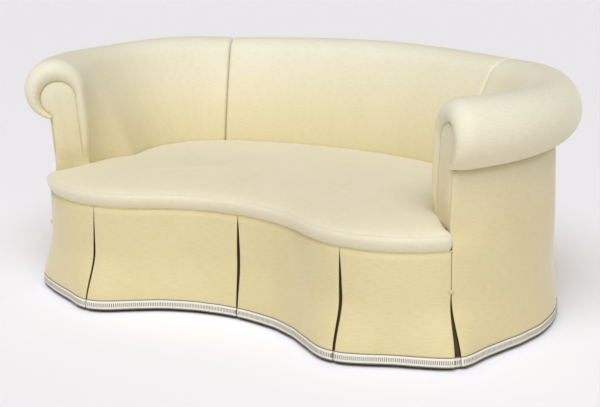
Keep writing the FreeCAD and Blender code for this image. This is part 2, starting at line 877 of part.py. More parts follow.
# Outside panels, skirt, underlays and tape
wall_levels = [(underside_height + welt_height) / 2.0] + hem_levels()
wall_top = underside_height - fit
skirt_top = welt_height - welt_radius
outside_arm = skirt_panel(arm_station, seam_station, wall_top, wall_levels)
save_pair("outside_arm", outside_arm.cut(front_room))
save("outside_back", skirt_panel(seam_station, back_end, wall_top, wall_levels))
save_pair("skirt_inner", skirt_panel(0.0, pleat_station, skirt_top, hem_levels()[1:]))
save_pair("skirt_outer", skirt_panel(pleat_station, arm_station, skirt_top, hem_levels()[1:]))

pleats = {"front": (0.0, pleat_station, -pleat_station),
          "corner": (arm_station, -arm_station), "rear": (seam_station, -seam_station)}
for name, stations in pleats.items():
    save("pleat_underlay_" + name, group([underlay(s) for s in stations]))

front_bounds = [-arm_station, -pleat_station, 0.0, pleat_station, arm_station]
rear_bounds = [arm_station, seam_station, back_end, 2.0 * half_girth - arm_station]
save("tack_strips", group(tack_strips(front_bounds) + tack_strips(rear_bounds)))

runs = [(0.0, pleat_station), (pleat_station, arm_station), (arm_station, seam_station)]
tapes = [tape_strip(panel_stations(a, b), 0.0, 0.0) for a, b in runs]
tapes += [mirrored(t) for t in tapes]
tapes.append(tape_strip(panel_stations(seam_station, back_end), 0.0, 0.0))
save("hem_tape", group(tapes))
behind = [tape_strip(underlay_stations(s), underlay_gap, underlay_drop)
          for stations in pleats.values() for s in stations]
save("underlay_tape", group(behind))

buttons = []
for s in (arm_station, seam_station):
    face, out, along = upright(s, wall_inset(s, button_height), button_height)
    wires = []
    for share, rise in ((1.0, 0.0), (0.85, 0.25), (0.45, 0.45)):
        turns = [2.0 * pi * k / 8.0 for k in range(8)]
        size = button_radius * share
        wires.append(closed([face + out * (button_radius * rise) + along * (size * cos(t))
                             + V(0, 0, size * sin(t)) for t in turns]))
    buttons.append(loft(wires))
    buttons.append(mirrored(buttons[-1]))
save("pleat_buttons", group(buttons))
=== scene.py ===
# %% [markdown]
# # A kidney-shaped settee in ribbed silk
# The settee stands on the floor with a skirt to the ground. One long sweep of arms and back
# rolls over outwards round a tight, crowned seat. The wooden frame and the springs come from
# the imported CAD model. Every cloth, pad, cord and tape is made here, around that frame, because
# a soft form is easier to shape as a mesh than as a solid.

# %% Load the frame
import json
from math import sin, cos, acos, atan2, exp, hypot, radians, degrees

import bmesh
import bpy
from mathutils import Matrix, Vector, noise


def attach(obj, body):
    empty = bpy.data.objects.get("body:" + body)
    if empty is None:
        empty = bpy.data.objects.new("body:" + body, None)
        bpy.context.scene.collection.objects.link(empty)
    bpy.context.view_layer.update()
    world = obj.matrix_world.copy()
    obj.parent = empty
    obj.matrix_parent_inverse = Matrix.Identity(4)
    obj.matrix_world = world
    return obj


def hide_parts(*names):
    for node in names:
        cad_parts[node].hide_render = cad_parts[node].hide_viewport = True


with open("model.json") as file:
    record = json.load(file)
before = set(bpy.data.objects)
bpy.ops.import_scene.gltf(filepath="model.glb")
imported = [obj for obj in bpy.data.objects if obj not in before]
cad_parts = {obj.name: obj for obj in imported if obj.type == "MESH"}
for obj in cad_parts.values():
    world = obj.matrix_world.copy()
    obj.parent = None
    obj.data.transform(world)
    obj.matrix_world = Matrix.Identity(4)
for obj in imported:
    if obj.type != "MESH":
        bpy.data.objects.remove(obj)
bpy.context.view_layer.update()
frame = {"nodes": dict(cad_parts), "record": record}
MM = 0.001
print("nodes in the frame:", len(frame["nodes"]))

# %% [markdown]
# ## One outline for everything
# The plan of the settee is a chain of arcs that run smoothly into each other. It could be drawn
# as a curve and traced by each piece, but then every piece would have its own small error. Here
# a place is a station, the distance along the outline from the middle of the front, and an
# inset, the distance inside it. Cloth, seat and tape use the same function, so they fit.

# %% The plan outline
# Each arc: its centre, radius, first and last bearing, and 1 where it bulges outwards.
ARCS = ((0.0, -579.0, 579.0, 180.0, 212.2, -1),
        (499.838, 214.729, 359.0, 212.2, 121.3, 1),
        (216.158, 387.210, 691.0, 121.3, 93.0, 1),
        (356.964, 379.830, 550.0, 93.0, 20.2, 1),
        (0.0, -590.371, 1583.786, 20.2, 0.0, 1))
LENGTHS = [radius * radians(abs(last - first)) for _, _, radius, first, last, _ in ARCS]
HALF = sum(LENGTHS)
ORIGIN_Y = 430.873
ARM, SEAM, PLEAT = 840.44, 1889.01, 493.94      # arm fronts, rear seams, pleats in the lobes
REAR_END = 2.0 * HALF - SEAM


def wrapped(station):
    """The same station, counted from the middle of the front to either side."""
    return (station + HALF) % (2.0 * HALF) - HALF


def at(station, inset=0.0, height=0.0):
    """The point at a station, an inset and a height, all in millimetres, as metres."""
    place = wrapped(station)
    side, run = (-1.0 if place < 0 else 1.0), abs(place)
    for (cx, cy, radius, first, last, hand), length in zip(ARCS, LENGTHS):
        if run <= length or hand == 1 and radius == ARCS[-1][2]:
            bearing = radians(first + (last - first) * run / length)
            reach = hand * radius - inset
            x = side * (cx + sin(bearing) * reach)
            return Vector((x, cy + cos(bearing) * reach - ORIGIN_Y, height)) * MM
        run -= length


def ease(value):
    """0 to 1 with a soft start and a soft end."""
    value = min(max(value, 0.0), 1.0)
    return value * value * (3.0 - 2.0 * value)


print("girth of the outline, mm:", round(2.0 * HALF))

# %% [markdown]
# ## Heights and thicknesses
# The crest of the arms dips in the middle and rises to the seams. The arms thicken behind their
# fronts, because the stuffing is deep there. The underside of the roll is level all round. Each
# of these is a small function of the station, so one change reaches every piece that uses it.

# %% Shape of the arms and back
HEM, WELT, JUNCTION, UNDERSIDE = 12.0, 353.0, 431.0, 590.0      # heights
ROLL_INSET = 31.0
THICK_FRONT, THICK_ARM, THICK_BACK, THICKEN_OVER = 140.0, 268.0, 250.0, 260.0
CREST_FRONT, CREST_DIP, CREST_SEAM, CREST_BACK = 803.0, 778.0, 795.0, 806.0
DIP_AT = 0.45           # share of the way from the arm front to the seam
FULLER = 13.0           # the right arm is stuffed a little fuller than the left one


def girth(station):
    """Distance from the middle of the front, to either side."""
    return abs(wrapped(station))


def thickness(station):
    """Outline to inside face at seat level."""
    arm = THICK_FRONT + (THICK_ARM - THICK_FRONT) * ease((girth(station) - ARM) / THICKEN_OVER)
    behind = ease((girth(station) - SEAM / 2.0) / (HALF - SEAM / 2.0))
    return arm - (THICK_ARM - THICK_BACK) * behind


def crest(station):
    """Top of the roll."""
    run = (girth(station) - ARM) / (SEAM - ARM)
    right_arm = wrapped(station) > 0.0
    full = FULLER * ease(run / 0.4) * ease((1.0 - run) / 0.3) if right_arm else 0.0
    if run > 1.0:
        rise = ease((girth(station) - SEAM) / (HALF - SEAM))
        return CREST_SEAM + (CREST_BACK - CREST_SEAM) * rise
    if run < DIP_AT:
        return CREST_FRONT - (CREST_FRONT - CREST_DIP) * ease(run / DIP_AT) + full
    return CREST_DIP + (CREST_SEAM - CREST_DIP) * ease((run - DIP_AT) / (1.0 - DIP_AT)) + full


print("crest at arm front, seam and back:", crest(ARM), crest(SEAM), crest(HALF))

# %% Shape of the outer cloth
FLARE, SWING_REACH = 19.0, 92.0
SWINGS = ((-PLEAT, 42.0), (PLEAT, 38.0), (-ARM, 22.0), (ARM, 45.0), (-SEAM, 40.0), (SEAM, 40.0))
KICK_FROM, KICK_OVER, STRAIGHT = 200.0, 180.0, 0.12
BOARD_EDGE, BOARD_DRAW, BOARD_BLEND = 23.5, 62.0, 150.0     # the cloth is drawn over the board
BOARD_LEAN, BOARD_LEAN_FROM = 0.072, 415.0
TOP_LEAN = 8.0


def flare(station):
    """How far the hem stands out. The cloth swings out most at its pleats."""
    place = wrapped(station)
    return FLARE + max(swing * exp(-((place - pleat) / SWING_REACH) ** 2)
                       for pleat, swing in SWINGS)


def wall_inset(station, height):
    """Inset of the outside panels above the welt, and of the skirt below it."""
    if height >= WELT:
        back = TOP_LEAN * (height - WELT) / (UNDERSIDE - WELT)
        front = (BOARD_EDGE * ease((height - WELT) / BOARD_DRAW)
                 - BOARD_LEAN * max(0.0, height - BOARD_LEAN_FROM))
        return front + (back - front) * ease((girth(station) - ARM) / BOARD_BLEND)
    hang = STRAIGHT * (WELT - height) / (WELT - HEM)
    kick = (1.0 - STRAIGHT) * ease((KICK_FROM - height) / KICK_OVER)
    return -flare(station) * (hang + kick)


print("hem stands out at arm front, mm:", round(flare(ARM)))

# %% [markdown]
# ## From a flat grid to a shaped cloth
# Cloth starts flat, so each piece starts as a flat grid of squares. A function then says where
# each crossing of the grid goes. A cloth simulation could drape it, but tight upholstery keeps
# the form that its maker gave it, so shaped rows come closer. The cloth map keeps the flat size
# in metres, so that the weave follows the piece as it does on the real one.

# %% Finish a mesh as a piece
def finish_piece(name, bm, inside, material):
    """Turns the faces outwards and makes the mesh an object."""
    bm.normal_update()
    turned = sum(f.normal.dot(f.calc_center_median() - inside(f)) * f.calc_area()
                 for f in bm.faces)
    if turned < 0.0:
        bmesh.ops.reverse_faces(bm, faces=bm.faces)
    for face in bm.faces:
        face.smooth = True
    mesh = bpy.data.meshes.new(name)
    bm.to_mesh(mesh)
    bm.free()
    piece = bpy.data.objects.new(name, mesh)
    bpy.context.scene.collection.objects.link(piece)
    piece.data.materials.append(material)
    return piece


def inner_side(face):
    """A point well inside the settee behind a face, to tell which way is out."""
    centre = face.calc_center_median()
    return Vector((centre.x * 0.5, centre.y * 0.5, centre.z))


print("finishing ready")

# %% Cloth, cord and thickness
CORD_SEGMENTS = 3


def cloth_grid(columns, rows, place, cloth):
    """A flat grid whose crossings move to place(i, j), with cloth(i, j) as its map."""
    bm = bmesh.new()
    bmesh.ops.create_grid(bm, x_segments=columns - 1, y_segments=rows - 1, size=1.0)
    layer = bm.loops.layers.uv.new("cloth")
    cell = {}
    for vert in bm.verts:
        cell[vert] = (round((vert.co.x + 1.0) / 2.0 * (columns - 1)),
                      round((vert.co.y + 1.0) / 2.0 * (rows - 1)))
    for face in bm.faces:
        for loop in face.loops:
            loop[layer].uv = cloth(*cell[loop.vert])
    for vert in bm.verts:
        vert.co = place(*cell[vert])
    return bm


def thicken(piece, amount):
    """Gives cloth its thickness on the inner side."""
    solid = piece.modifiers.new("thickness", "SOLIDIFY")
    solid.thickness, solid.offset = amount * MM, -1.0


def soften(piece):
    """Rounds a piece with one step of subdivision."""
    smooth = piece.modifiers.new("softness", "SUBSURF")
    smooth.levels = smooth.render_levels = 1


def cord_along(name, points, radius, material):
    """A round cord through a run of points."""
    curve = bpy.data.curves.new(name, "CURVE")
    curve.dimensions, curve.bevel_depth = "3D", radius * MM
    curve.bevel_resolution, curve.use_fill_caps = CORD_SEGMENTS, True
    spline = curve.splines.new("POLY")
    spline.points.add(len(points) - 1)
    for spot, point in zip(spline.points, points):
        spot.co = (*point, 1.0)
    holder = bpy.data.objects.new(name + "_curve", curve)
    mesh = bpy.data.meshes.new_from_object(holder)
    bpy.data.objects.remove(holder)
    mesh.name = name
    for face in mesh.polygons:
        face.use_smooth = True
    piece = bpy.data.objects.new(name, mesh)
    bpy.context.scene.collection.objects.link(piece)
    mesh.materials.clear()
    mesh.materials.append(material)
    return piece


def spread(first, last, step):
    """Even stations from first to last, no further apart than step."""
    count = max(1, round(abs(last - first) / step))
    return [first + (last - first) * i / count for i in range(count + 1)]


print("cloth and cord helpers ready")

# %% [markdown]
# ## Ribbed silk and cotton
# The cover is a pale cream cloth with fine cross ribs and slubs, woven from silk and cotton. The
# silk gives it a soft sheen, and the ribs catch the light in thin level lines. Light and shade by
# height are painted into its colour: painted light makes the upper surfaces paler, and painted
# shade makes the skirt yellower. A scanned cloth would be one way to paint it. Noise and waves
# are another, and they can be matched to real sizes and stay sharp from any distance.

# %% Node helper and colours
def linear(code):
    """A hex colour as linear red, green, blue and alpha."""
    parts = [int(code[i:i + 2], 16) / 255.0 for i in (1, 3, 5)]
    return (*[c / 12.92 if c <= 0.04045 else ((c + 0.055) / 1.055) ** 2.4 for c in parts], 1.0)


def node(tree, kind, inputs=None, **settings):
    """Adds a node with its settings. An input given as a socket is linked."""
    made = tree.nodes.new(kind)
    for name, value in settings.items():
        setattr(made, name, value)
    for name, value in (inputs or {}).items():
        if isinstance(value, bpy.types.NodeSocket):
            tree.links.new(value, made.inputs[name])
        else:
            made.inputs[name].default_value = value
    return made


def new_material(name):
    """An empty material and its tree."""
    material = bpy.data.materials.new(name)
    material.use_nodes = True
    material.node_tree.nodes.clear()
    return material, material.node_tree


def ramp(tree, factor, stops):
    """A colour ramp through hex colours at their positions."""
    made = node(tree, "ShaderNodeValToRGB", {"Fac": factor})
    elements = made.color_ramp.elements
    while len(elements) < len(stops):
        elements.new(0.5)
    for element, (position, code) in zip(elements, stops):
        element.position, element.color = position, linear(code)
    return made.outputs["Color"]


def closing(tree, shader):
    """Joins the shader to the material's output."""
    tree.links.new(shader.outputs["BSDF"],
                   node(tree, "ShaderNodeOutputMaterial").inputs["Surface"])


print("a middle grey in linear light:", round(linear("#808080")[0], 3))

# %% Ribbed silk
# The real ribs are under 1 mm apart, too fine to show in the render, so they are drawn coarser.
RIB = 2.6 * MM
WAVE_SPACING = 0.3182       # spacing of the waves at scale 1, in metres, near enough
SLUB_LENGTH, SLUB_WIDTH = 30.0 * MM, 2.4 * MM
# Height in metres, and the colour that the cloth's own is multiplied by there: painted light
# and shade, paler above and yellower towards the floor.
PAINTED_LIGHT_BY_HEIGHT = ((0.0, "#F1E5C2"), (0.42, "#F5EACA"), (0.60, "#FDF7E6"), (0.78, "#FFFFFF"))
PULLS = (26.0, 3.0, 1.0)    # long soft creases, as the cloth is pulled over its stuffing


def ribbed_silk(name, tones, mapped=True, painted_light_share=1.0):
    """Cream silk. Tones are its shade, middle and light colours."""
    material, tree = new_material(name)
    spot = node(tree, "ShaderNodeTexCoord")
    source = spot.outputs["UV" if mapped else "Object"]

    def noise_on(vector, scale, **inputs):
        return node(tree, "ShaderNodeTexNoise",
                    {"Vector": vector, "Scale": scale, **inputs}).outputs["Fac"]

    def stretched(amounts):
        return node(tree, "ShaderNodeMapping",
                    {"Vector": source, "Scale": amounts}).outputs["Vector"]

    def times_add(value, factor, added=0.0):
        return node(tree, "ShaderNodeMath", {0: value, 1: factor, 2: added},
                    operation="MULTIPLY_ADD").outputs[0]

    slubs = noise_on(stretched((1.0 / SLUB_LENGTH, 1.0 / SLUB_WIDTH, 1.0)), 1.0,
                     Detail=3.0, Roughness=0.6)
    ribs = node(tree, "ShaderNodeTexWave",
                {"Vector": source, "Scale": WAVE_SPACING / RIB, "Distortion": 0.6,
                 "Detail": 1.0, "Detail Scale": 40.0}, bands_direction="Y").outputs["Fac"]
    cloud = noise_on(source, 3.5, Detail=2.0)
    weave = times_add(ribs, 0.12, times_add(slubs, 0.8))
    tone = times_add(cloud, 0.25, weave)
    own = ramp(tree, tone, [(0.3, tones[0]), (0.55, tones[1]), (0.8, tones[2])])
    # Painted light and shade: the cloth's colour is multiplied by a ramp on the height, paler
    # above and yellower below.
    height = node(tree, "ShaderNodeSeparateXYZ", {"Vector": spot.outputs["Object"]}).outputs["Z"]
    colour = node(tree, "ShaderNodeMix", {0: painted_light_share, 6: own, 7: ramp(tree, height, PAINTED_LIGHT_BY_HEIGHT)},
                  data_type="RGBA", blend_type="MULTIPLY").outputs[2]
    pulled = node(tree, "ShaderNodeBump",
                  {"Height": noise_on(stretched(PULLS), 1.0, Detail=1.0), "Strength": 0.5,
                   "Distance": 2.0 * MM}).outputs["Normal"]
    bump = node(tree, "ShaderNodeBump", {"Height": weave, "Strength": 0.35, "Normal": pulled,
                                         "Distance": 0.5 * MM}).outputs["Normal"]
    closing(tree, node(tree, "ShaderNodeBsdfPrincipled",
                       {"Base Color": colour, "Roughness": 0.62, "Specular IOR Level": 0.35,
                        "Sheen Weight": 0.4, "Sheen Roughness": 0.45, "Normal": bump}))
    return material


silk = ribbed_silk("ribbed_silk", ("#D5D0B3", "#DFDBC2", "#E7E4D1"))
# Painted light: the seat's copy of the silk is paler and less yellow than the cover's, and takes
# less of the painted height ramp.
seat_silk = ribbed_silk("ribbed_silk_on_the_seat", ("#D6D1B7", "#E0DCC6", "#E8E5D5"),
                        painted_light_share=0.4)
# Painted shade: the strips behind the pleats are the same cream silk, painted dark brown for the
# deep shade in the slits.
shaded_silk = ribbed_silk("ribbed_silk_behind_the_pleats", ("#3A2B12", "#46361B", "#524124"))
# Painted shade: the trim is the same silk painted darker and yellower, for the thin shaded line
# along the piping and the welt. The buttons are covered in it too.
cord_silk = ribbed_silk("ribbed_silk_over_cord", ("#C9BE90", "#D6CDA5", "#E0D9B8"),
                        mapped=False)
print("silks:", silk.name, seat_silk.name, shaded_silk.name, cord_silk.name)

# %% [markdown]
# ## Woven tape
# The hem carries a flat woven tape 33 mm wide. A thin grey-brown cord runs along each edge, and a
# ladder of dark bars runs along the middle of its white ground. The bars are 5.8 mm apart. They
# could be small meshes, but a thousand of them lie flat in the weave, so the tape's own map
# counts them out instead: across it runs from 0 to 33 mm, and along it runs with the hem.

# %% Woven tape
BAR_PITCH, BAR_WIDTH, BAR_HEIGHT, TAPE_WIDTH, EDGE_WIDTH = 5.8, 3.0, 13.0, 33.0, 3.6


def woven_tape():
    """Dry matt cotton, so it is rough and has little gloss."""
    material, tree = new_material("woven_tape")
    cloth_map = node(tree, "ShaderNodeTexCoord").outputs["UV"]
    spot = node(tree, "ShaderNodeSeparateXYZ", {"Vector": cloth_map})

    def step(operation, first, second=0.0):
        return node(tree, "ShaderNodeMath", {0: first, 1: second}, operation=operation).outputs[0]

    phase = step("FRACT", step("MULTIPLY", spot.outputs["X"], 1.0 / MM / BAR_PITCH))
    from_middle = step("ABSOLUTE", step("SUBTRACT", spot.outputs["Y"], TAPE_WIDTH / 2.0 * MM))
    bar = step("MULTIPLY", step("LESS_THAN", phase, BAR_WIDTH / BAR_PITCH),
               step("LESS_THAN", from_middle, BAR_HEIGHT / 2.0 * MM))
    edge = step("GREATER_THAN", from_middle, (TAPE_WIDTH / 2.0 - EDGE_WIDTH) * MM)
    dark = step("MAXIMUM", bar, edge)
    threads = node(tree, "ShaderNodeTexNoise",
                   {"Vector": cloth_map, "Scale": 900.0, "Detail": 1.0}).outputs["Fac"]
    ground = ramp(tree, threads, [(0.3, "#D9D5C8"), (0.7, "#EFEDE4")])
    marks = ramp(tree, threads, [(0.3, "#7F785F"), (0.7, "#9A927C")])
    colour = node(tree, "ShaderNodeMix", {0: dark, 6: ground, 7: marks},
                  data_type="RGBA").outputs[2]
    bump = node(tree, "ShaderNodeBump", {"Height": step("ADD", dark, threads), "Strength": 0.4,
                                         "Distance": 0.5 * MM}).outputs["Normal"]
    closing(tree, node(tree, "ShaderNodeBsdfPrincipled",
                       {"Base Color": colour, "Roughness": 0.8, "Specular IOR Level": 0.3,
                        "Normal": bump}))
    return material


tape_cloth = woven_tape()
print("bars in a metre of tape:", round(1.0 / MM / BAR_PITCH))

# %% [markdown]
# ## Inside materials
# The frame is beech, planed and left bare, and the legs are stained nearly black. The webbing and
# the linings are jute, the springs are oiled steel, and the stuffing is hair under cotton felt.
# All are fibrous or drawn, so one noise, stretched along the fibres, serves them all.

# %% Wood, jute, felt and steel
def plain_grain(name, light, dark, stretch, scale, roughness):
    """A fibrous material: noise stretched along one axis, from dark to light."""
    material, tree = new_material(name)
    spot = node(tree, "ShaderNodeTexCoord").outputs["Object"]
    turned = node(tree, "ShaderNodeMapping", {"Vector": spot, "Scale": stretch})
    fibres = node(tree, "ShaderNodeTexNoise", {"Vector": turned.outputs["Vector"],
                                               "Scale": scale, "Detail": 4.0}).outputs["Fac"]
    colour = ramp(tree, fibres, [(0.35, dark), (0.65, light)])
    bump = node(tree, "ShaderNodeBump", {"Height": fibres, "Strength": 0.2,
                                         "Distance": 0.5 * MM}).outputs["Normal"]
    closing(tree, node(tree, "ShaderNodeBsdfPrincipled",
                       {"Base Color": colour, "Roughness": roughness, "Normal": bump}))
    return material


# Pale wood with a fine grain, nearly black wood, coarse dull jute, soft white felt, dark wire.
beech = plain_grain("planed_beech", "#D9B78C", "#B98E60", (1.0, 1.0, 8.0), 12.0, 0.6)
stained = plain_grain("stained_beech", "#2E1F14", "#160D07", (6.0, 6.0, 1.0), 14.0, 0.45)
jute = plain_grain("jute", "#B79A6A", "#8C7044", (1.0, 1.0, 1.0), 320.0, 0.9)
felt = plain_grain("cotton_felt", "#E4DFCF", "#CFC7B0", (1.0, 1.0, 1.0), 90.0, 0.95)
oiled = plain_grain("oiled_steel", "#8A8A88", "#5F5F5D", (1.0, 1.0, 4.0), 60.0, 0.4)
BY_SLOT = {"beech": beech, "dark_beech": stained, "hessian": jute, "stuffing": felt,
           "steel": oiled, "cream_cloth": silk, "cream_trim": cord_silk,
           "woven_tape": tape_cloth, "underlay_cloth": shaded_silk}
slots = {part["node"]: part["material_slot"] for part in frame["record"]["subparts"]}
for name, part in frame["nodes"].items():
    part.data.materials.clear()
    part.data.materials.append(BY_SLOT[slots[name]])
print("materials on the frame:", len(set(slots.values())))

# %% [markdown]
# ## The rolled arms and back
# Each is one padded form: the inside face rises from the seat, leans back, and goes over in a
# roll. On the real one the cloth is pulled tight over hair, so it is smooth, with a soft pinch
# at the seams. At the arm fronts it turns in a puffy ring round the facing, held by gathers. A
# profile spun round a curve would keep one section, but this one changes all the way, so each
# column of the grid gets a profile of its own and a subdivision makes them flow together.

# %% Profile of the roll
FACE_ROWS, ROLL_ROWS = 16, 34
COVER_FOOT, COVER_BEND = 398.0, 414.0           # heights hidden behind the seat
BOW = 0.12                                      # the inside face bows out by this share
HEAD_U, HEAD_Z, HEAD_R = 41.0, 668.0, 62.0      # the round head of the facing
HEAD_START, HEAD_SWEEP = -5.0, 250.0
FOOT_Z, FOOT_OUTER, FOOT_INNER = 405.0, 30.0, 123.0


def roll_profile(station, pinch):
    """Inset and height pairs from behind the seat, up the inside face and over the roll."""
    radius = (crest(station) - UNDERSIDE) / 2.0 - pinch
    level = (crest(station) + UNDERSIDE) / 2.0
    start = thickness(station) - pinch
    run, rise = start - ROLL_INSET, level - JUNCTION
    distance = hypot(run, rise)
    touch = degrees(acos(radius / distance) - atan2(rise, run))
    lip = wall_inset(station, UNDERSIDE) + 3.0
    end = 180.0 + degrees(acos(min(1.0, (ROLL_INSET - lip) / radius)))

    def on_roll(angle):
        return (ROLL_INSET + radius * cos(radians(angle)), level + radius * sin(radians(angle)))

    points = [(start, COVER_FOOT), (start, COVER_BEND)]
    knee, top = (start, JUNCTION), on_roll(touch)
    for i in range(FACE_ROWS):
        t = i / FACE_ROWS
        bow = BOW * distance * t * (1.0 - t)
        points.append((knee[0] + (top[0] - knee[0]) * t + bow * cos(radians(touch)),
                       knee[1] + (top[1] - knee[1]) * t + bow * sin(radians(touch))))
    for i in range(ROLL_ROWS + 1):
        points.append(on_roll(touch + (end - touch) * i / ROLL_ROWS))
    return points


def on_head(share, radius=HEAD_R):
    """A point round the head of the facing, from its inner to its outer side."""
    angle = radians(HEAD_START + HEAD_SWEEP * share)
    return (HEAD_U + radius * cos(angle), HEAD_Z + radius * sin(angle))


def keyhole_profile():
    """The facing's edge, with as many points as the roll's profile."""
    top = on_head(0.0)
    points = []
    for i in range(FACE_ROWS + 2):
        t = i / (FACE_ROWS + 2)
        points.append((FOOT_INNER + (top[0] - FOOT_INNER) * t,
                       COVER_FOOT + (top[1] - COVER_FOOT) * t))
    return points + [on_head(i / ROLL_ROWS) for i in range(ROLL_ROWS + 1)]


KEYHOLE = keyhole_profile()
print("points in a profile:", len(KEYHOLE))

# %% Seams, ring, gathers and wrinkles
SEAM_ROUND = 16.0       # how deep the cloth rounds into a seam
# Share of the way from the roll to the facing, and depth behind the arm front. It starts at the
# facing, stands proud of it as a ring, and goes back into the roll.
RING = ((1.06, 14.0), (1.0, 6.0), (0.94, -3.0), (0.84, -10.5), (0.70, -15.5), (0.54, -16.5),
        (0.39, -13.5), (0.26, -7.5), (0.15, 1.5), (0.06, 13.0), (0.015, 25.0))
RING_DEPTH = 38.0
RING_FLAT, FLAT_OVER = 500.0, 60.0      # the ring dies away below this height
GATHER = 2.2
ARM_STEP, BACK_STEP = 24.0, 26.0


def seam_rows(last, turn):
    """Station and pinch of the rows that round off the cloth into a seam."""
    return [(last - turn * SEAM_ROUND * a, SEAM_ROUND * b)
            for a, b in ((3.4, 0.0), (1.9, 0.0), (1.0, 0.0), (0.66, 0.06), (0.4, 0.2),
                         (0.12, 0.52), (0.0, 1.0), (0.0, 1.7))]


def gather(j, share):
    """Small radial folds in the ring, on its lower outer quarter."""
    t = (j - FACE_ROWS - 2) / ROLL_ROWS
    fold = GATHER if j % 2 else -GATHER
    return fold * ease((t - 0.36) / 0.2) * ease((share - 0.2) / 0.3)


def wrinkle(station, height):
    """Slight unevenness of hand-stuffed cloth, in mm."""
    spot = Vector((station * 0.006, height * 0.011, 0.0))
    return 1.1 * noise.noise(spot) + 0.5 * noise.noise(spot * 3.1)


def cover_columns(kind):
    """Columns of a cover as station, pinch, share of the way to the facing, and depth."""
    if kind == "back":
        start, end = seam_rows(SEAM, -1.0)[::-1], seam_rows(REAR_END, 1.0)
        middle = [(s, 0.0) for s in spread(start[-1][0], end[0][0], BACK_STEP)[1:-1]]
        return [(s, p, 0.0, 0.0) for s, p in start + middle + end]
    ring = [(ARM, 0.0, share, depth) for share, depth in RING]
    end = seam_rows(SEAM, 1.0)
    middle = [(s, 0.0) for s in spread(ARM + RING_DEPTH, end[0][0], ARM_STEP)[:-1]]
    return ring + [(s, p, 0.0, 0.0) for s, p in middle + end]


print("columns of an arm and of the back:", len(cover_columns("arm")), len(cover_columns("back")))

# %% Build the covers
TURN_IN, LIFT_IN, RING_TURN = 16.0, 7.0, 3.0    # the cloth's edge turns in under the roll


def towards(pair, goal, share):
    """A pair of numbers, moved this share of the way to another pair."""
    return (pair[0] + (goal[0] - pair[0]) * share, pair[1] + (goal[1] - pair[1]) * share)


def ring_line(column, side):
    """One line of the ring round the facing."""
    s, pinch, share, depth = column
    profile = roll_profile(s, pinch)
    line = []
    for j, pair in enumerate(profile):
        u, z = towards(pair, KEYHOLE[j], share)
        deep = depth + gather(j, share)
        if z < RING_FLAT:
            deep = max(deep, depth + (4.0 - depth) * ease((RING_FLAT - z) / FLAT_OVER))
        line.append(at(side * (s + deep), u, z))
    u, z = towards(profile[-1], KEYHOLE[-1], share)
    line.append(at(side * (s + depth + TURN_IN), u + RING_TURN, z + RING_TURN))
    return line


def roll_line(column, side):
    """One line of the inside face and the roll."""
    s, pinch, _, depth = column
    profile = roll_profile(s, pinch)
    middle = (ROLL_INSET, 0.5 * (crest(s) + UNDERSIDE))
    line = []
    for j, (u, z) in enumerate(profile):
        puff = wrinkle(s, z + u)
        if j > FACE_ROWS:
            away = hypot(u - middle[0], z - middle[1]) or 1.0
            u, z = u + puff * (u - middle[0]) / away, z + puff * (z - middle[1]) / away
        else:
            u += puff
        line.append(at(side * (s + depth), u, z))
    last = profile[-1]
    line.append(at(side * (s + depth), last[0] + TURN_IN, last[1] + LIFT_IN))
    return line


def inside_roll(face):
    """A point inside the stuffing behind a face."""
    centre = face.calc_center_median()
    return Vector((centre.x * 0.93, centre.y * 0.93, 0.64))


def rolled_cover(name, kind, side):
    """An arm or the back as one padded form."""
    columns = cover_columns(kind)
    lines = [(ring_line if column[2] else roll_line)(column, side) for column in columns]
    cloth_u = [(s - depth if share else s) * MM for s, _, share, depth in columns]
    length = [0.0]
    middle_line = lines[len(lines) // 2]
    for a, b in zip(middle_line, middle_line[1:]):
        length.append(length[-1] + (b - a).length)
    bm = cloth_grid(len(columns), len(lines[0]), lambda i, j: lines[i][j],
                    lambda i, j: (cloth_u[i], length[j]))
    piece = finish_piece(name, bm, inside_roll, silk)
    soften(piece)
    return piece


right = rolled_cover("arm_padding_right", "arm", 1.0)
left = rolled_cover("arm_padding_left", "arm", -1.0)
back = rolled_cover("back_padding", "back", 1.0)
for piece, names in ((right, ("arm_cover_right", "arm_stuffing_right")),
                     (left, ("arm_cover_left", "arm_stuffing_left")),
                     (back, ("back_cover", "back_stuffing"))):
    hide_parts(*names)
    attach(piece, "root")
print("covers:", len(right.data.polygons), len(back.data.polygons))

# %% [markdown]
# ## The facing and its piping
# The front of each arm is closed by a keyhole panel. It is a board with a thin pad under the
# silk, so it swells a little, and a cord in the same silk runs round its edge. An inset of a flat
# face would give level rings. Rings that shrink towards a spine, the keyhole's own middle line,
# let the pad swell evenly in the round head and in the narrow foot.

# %% Facings
# Share of the way from the spine to the edge, and depth behind the arm front.
PAD_RINGS = ((1.0, 14.0), (1.0, 8.0), (0.97, 3.6), (0.9, 0.4), (0.75, -2.4), (0.5, -4.6),
             (0.26, -5.4))
SIDE_POINTS, HEAD_POINTS, NECK_POINTS = 14, 32, 12
FACING_FLAT, FLAT_DEPTH = 495.0, 6.0    # below this height the pad is flat


def keyhole_edge(grow=0.0):
    """Inset and height of points all round the facing."""
    top, neck = on_head(0.0, HEAD_R + grow), on_head(1.0, HEAD_R + grow)
    inner, outer = (FOOT_INNER + grow, FOOT_Z), (FOOT_OUTER - grow, FOOT_Z)
    points = [towards(inner, top, i / SIDE_POINTS) for i in range(SIDE_POINTS)]
    points += [on_head(i / HEAD_POINTS, HEAD_R + grow) for i in range(HEAD_POINTS + 1)]
    return points + [towards(neck, outer, i / NECK_POINTS) for i in range(1, NECK_POINTS + 1)]


def spine(u, z):
    """Middle of the keyhole level with a place on its edge."""
    if z > HEAD_Z:
        return (HEAD_U, HEAD_Z)
    share = (HEAD_Z - z) / (HEAD_Z - FOOT_Z)
    return (HEAD_U + (0.5 * (FOOT_OUTER + FOOT_INNER) - HEAD_U) * share, z)


